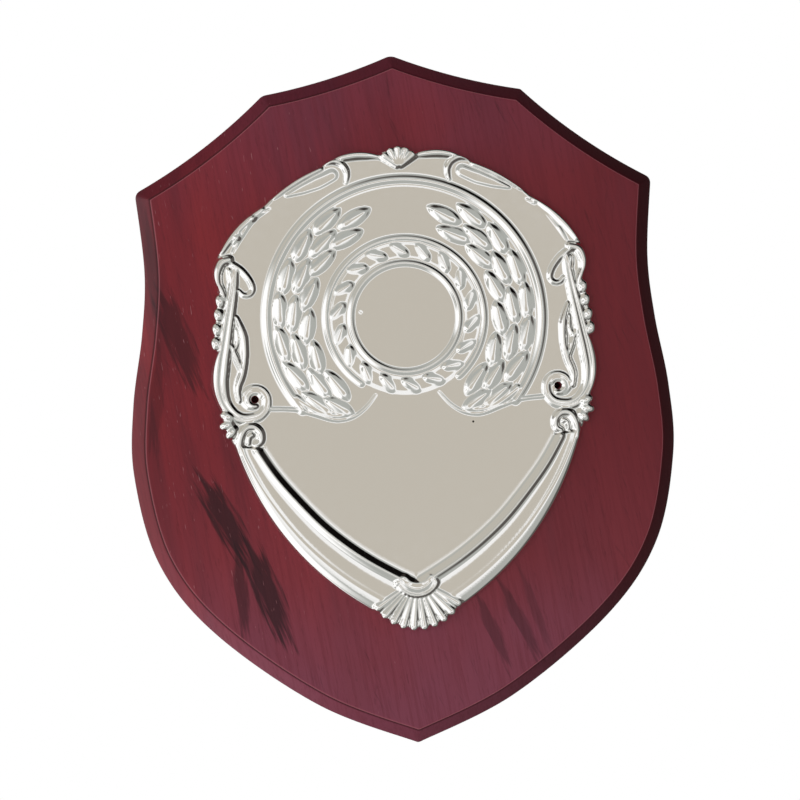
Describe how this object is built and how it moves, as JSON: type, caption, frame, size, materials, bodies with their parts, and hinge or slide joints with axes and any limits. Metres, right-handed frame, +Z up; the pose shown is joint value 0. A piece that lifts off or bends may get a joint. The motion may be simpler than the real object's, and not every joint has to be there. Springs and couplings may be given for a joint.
{
  "type": "wooden heraldic shield plaque",
  "caption": "Shield-shaped wall plaque: a stained wooden board with a bevelled edge carries a pressed silver metal front with rings, a laurel wreath, scrolls, shells and a blank label field",
  "frame": {"origin": "on the flat back of the board, at the middle of its height and width", "axes": "+Z up the plaque, +Y out of its back into the wall, the front looks along -Y, +X to the right of someone facing the front"},
  "size_m": [0.1268, 0.0144, 0.1601],
  "materials": {
    "stained_wood": "satin lacquer over rosewood stain",
    "silver_metal": "polished silver-coloured pressed sheet"
  },
  "bodies": {
    "root": {"shield_board": "stained_wood", "pressed_metal_front": "silver_metal"}
  },
  "joints": []
}
